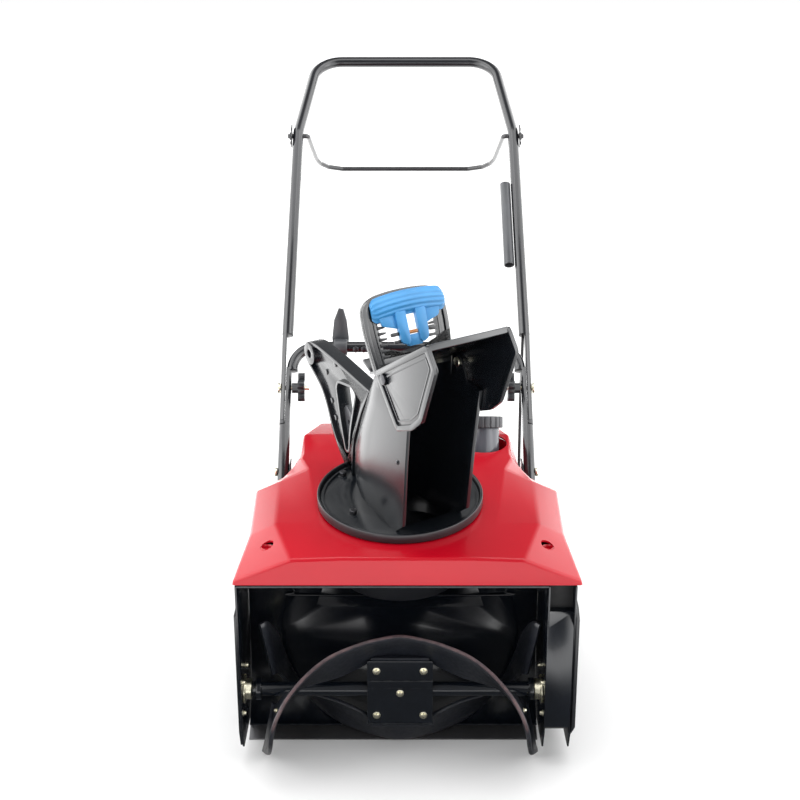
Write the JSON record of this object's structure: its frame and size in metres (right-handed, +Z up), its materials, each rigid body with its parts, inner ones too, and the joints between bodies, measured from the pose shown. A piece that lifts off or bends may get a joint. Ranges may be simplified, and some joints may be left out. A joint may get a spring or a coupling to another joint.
{
  "type": "single stage snowblower",
  "caption": "Walk-behind single stage snow thrower: paddle rotor in an open housing, turning discharge chute with tilting deflector, folding tube handle.",
  "frame": {"origin": "on the ground, centre of the scraper blade's flat lower face", "axes": "+X to the right seen from the intake, +Y back towards the operator, +Z up"},
  "size_m": [0.574, 1.2816, 1.0528],
  "materials": {
    "black_paint": "gloss black powder coat",
    "tube_paint": "satin black powder coat",
    "hood_red": "gloss red moulded plastic",
    "chute_black": "semi-gloss black moulded plastic",
    "ring_black": "satin black moulded plastic",
    "trigger_blue": "satin light blue plastic",
    "paddle_rubber": "matt black rubber with a worn edge",
    "tyre_rubber": "matt black",
    "zinc": "yellow-tinted zinc plate",
    "steel": "bare machined steel",
    "cast": "as-cast aluminium",
    "rim_plastic": "satin black moulded plastic",
    "grey_plastic": "satin dark grey plastic",
    "tank_plastic": "translucent grey blow-moulded plastic",
    "belt_rubber": "matt black",
    "bail_paint": "satin black dip coat",
    "wear_strip": "scuffed dark steel",
    "red_control": "gloss red plastic",
    "bulb_rubber": "soft red-black rubber",
    "muffler_steel": "heat-tinted pressed steel"
  },
  "bodies": {
    "chassis": {"auger_housing": "black_paint", "left_side_plate": "black_paint", "right_side_plate": "black_paint", "scraper_blade": "wear_strip", "belt_case": "black_paint", "belt_cover": "ring_black", "chute_ring": "ring_black", "neck_apron": "ring_black", "hood": "hood_red", "hood_screws": "hood_red", "rotor_bearings": "zinc", "drive_belt": "belt_rubber", "idler_spring": "steel", "engine_frame": "black_paint", "wheel_axle": "zinc", "engine_block": "cast", "engine_shroud": "ring_black", "fuel_tank": "tank_plastic", "muffler": "muffler_steel", "carburettor": "grey_plastic", "rear_panel": "ring_black", "lower_handle": "tube_paint", "fold_bolts": "zinc", "handle_screws": "zinc"},
    "upper_handle": {"upper_handle": "tube_paint", "tube_end_caps": "ring_black", "tool_tube": "grey_plastic", "bail_cable": "rim_plastic"},
    "control_bail": {"control_bail": "bail_paint", "bail_clips": "ring_black"},
    "left_knob": {"left_fold_knob": "ring_black"},
    "right_knob": {"right_fold_knob": "ring_black"},
    "rotor": {"rotor_shaft": "black_paint", "rotor_pulley": "steel", "front_paddle": "paddle_rubber", "rear_paddle": "paddle_rubber", "paddle_plates": "black_paint", "paddle_bolts": "zinc"},
    "crankshaft": {"crankshaft": "steel", "engine_pulley": "steel"},
    "idler_arm": {"idler_arm": "zinc"},
    "idler_pulley": {"idler_pulley": "steel"},
    "chute": {"chute_body": "chute_black", "chute_arm": "chute_black", "chute_bolts": "zinc", "deflector_screws": "zinc"},
    "deflector": {"deflector": "chute_black", "deflector_handle": "grey_plastic"},
    "trigger": {"deflector_trigger": "trigger_blue"},
    "left_wheel": {"left_rim": "rim_plastic", "left_tyre": "tyre_rubber"},
    "right_wheel": {"right_rim": "rim_plastic", "right_tyre": "tyre_rubber"},
    "fuel_cap": {"fuel_cap": "grey_plastic"},
    "oil_cap": {"oil_cap": "ring_black"},
    "primer_bulb": {"primer_bulb": "bulb_rubber"},
    "ignition_key": {"ignition_key": "red_control"},
    "choke_knob": {"choke_knob": "red_control"},
    "recoil_grip": {"recoil_grip": "ring_black"},
    "crossbar_lever": {"crossbar_lever": "grey_plastic"}
  },
  "joints": [
    {"name": "handle_fold", "type": "hinge", "parent": "chassis", "child": "upper_handle", "pos_m": [0, 0.45601, 0.49513], "axis": [1, 0, 0], "range_deg": [0, 68]},
    {"name": "bail_squeeze", "type": "hinge", "parent": "upper_handle", "child": "control_bail", "pos_m": [0, 0.86099, 0.91451], "axis": [1, 0, 0], "range_deg": [0, 51]},
    {"name": "left_knob_turn", "type": "hinge", "parent": "chassis", "child": "left_knob", "pos_m": [0, 0.45601, 0.49513], "axis": [1, 0, 0], "continuous": true},
    {"name": "right_knob_turn", "type": "hinge", "parent": "chassis", "child": "right_knob", "pos_m": [0, 0.45601, 0.49513], "axis": [1, 0, 0], "continuous": true},
    {"name": "rotor_spin", "type": "hinge", "parent": "chassis", "child": "rotor", "pos_m": [0, -0.047, 0.1265], "axis": [1, 0, 0], "continuous": true},
    {"name": "crank_spin", "type": "hinge", "parent": "chassis", "child": "crankshaft", "pos_m": [0, 0.262, 0.252], "axis": [1, 0, 0], "continuous": true},
    {"name": "idler_swing", "type": "hinge", "parent": "chassis", "child": "idler_arm", "pos_m": [0, 0.176, 0.133], "axis": [1, 0, 0], "range_deg": [-9, 0]},
    {"name": "idler_spin", "type": "hinge", "parent": "idler_arm", "child": "idler_pulley", "pos_m": [0, 0.128, 0.137], "axis": [1, 0, 0], "continuous": true},
    {"name": "chute_turn", "type": "hinge", "parent": "chassis", "child": "chute", "pos_m": [-0.012, 0.085, 0.421], "axis": [0, -0.1219, 0.9925], "range_deg": [-134, 76]},
    {"name": "deflector_tilt", "type": "hinge", "parent": "chute", "child": "deflector", "pos_m": [0.02582, -0.01732, 0.69457], "axis": [0.8746, 0.4812, 0.0591], "range_deg": [-4, 50]},
    {"name": "trigger_squeeze", "type": "slide", "parent": "deflector", "child": "trigger", "axis": [-0.2034, 0.2536, 0.9457], "range_m": [0, 0.008]},
    {"name": "left_wheel_roll", "type": "hinge", "parent": "chassis", "child": "left_wheel", "pos_m": [0, 0.33, 0.1015], "axis": [1, 0, 0], "continuous": true},
    {"name": "right_wheel_roll", "type": "hinge", "parent": "chassis", "child": "right_wheel", "pos_m": [0, 0.33, 0.1015], "axis": [1, 0, 0], "continuous": true},
    {"name": "fuel_cap_turn", "type": "hinge", "parent": "chassis", "child": "fuel_cap", "pos_m": [0.143, 0.292, 0.396], "axis": [0, 0.3746, 0.9272], "continuous": true},
    {"name": "oil_cap_turn", "type": "hinge", "parent": "chassis", "child": "oil_cap", "pos_m": [0.095, 0.3182, 0.186], "axis": [0, 1, 0], "continuous": true},
    {"name": "primer_press", "type": "slide", "parent": "chassis", "child": "primer_bulb", "axis": [0, -1, 0], "range_m": [0, 0.008]},
    {"name": "key_pull", "type": "slide", "parent": "chassis", "child": "ignition_key", "axis": [0, 1, 0], "range_m": [0, 0.012]},
    {"name": "choke_turn", "type": "hinge", "parent": "chassis", "child": "choke_knob", "pos_m": [0.1, 0.452, 0.35], "axis": [0, 1, 0], "range_deg": [0, 90]},
    {"name": "recoil_pull", "type": "slide", "parent": "chassis", "child": "recoil_grip", "axis": [0, 1, 0], "range_m": [0, 0.45]},
    {"name": "lever_swing", "type": "hinge", "parent": "chassis", "child": "crossbar_lever", "pos_m": [0, 0.51783, 0.55915], "axis": [1, 0, 0], "range_deg": [-25, 20]}
  ],
  "couplings": [
    {"joint": "crank_spin", "follows": "rotor_spin", "ratio": 2.6438},
    {"joint": "idler_swing", "follows": "bail_squeeze", "ratio": -0.1765},
    {"joint": "idler_spin", "follows": "rotor_spin", "ratio": -2.1368}
  ]
}
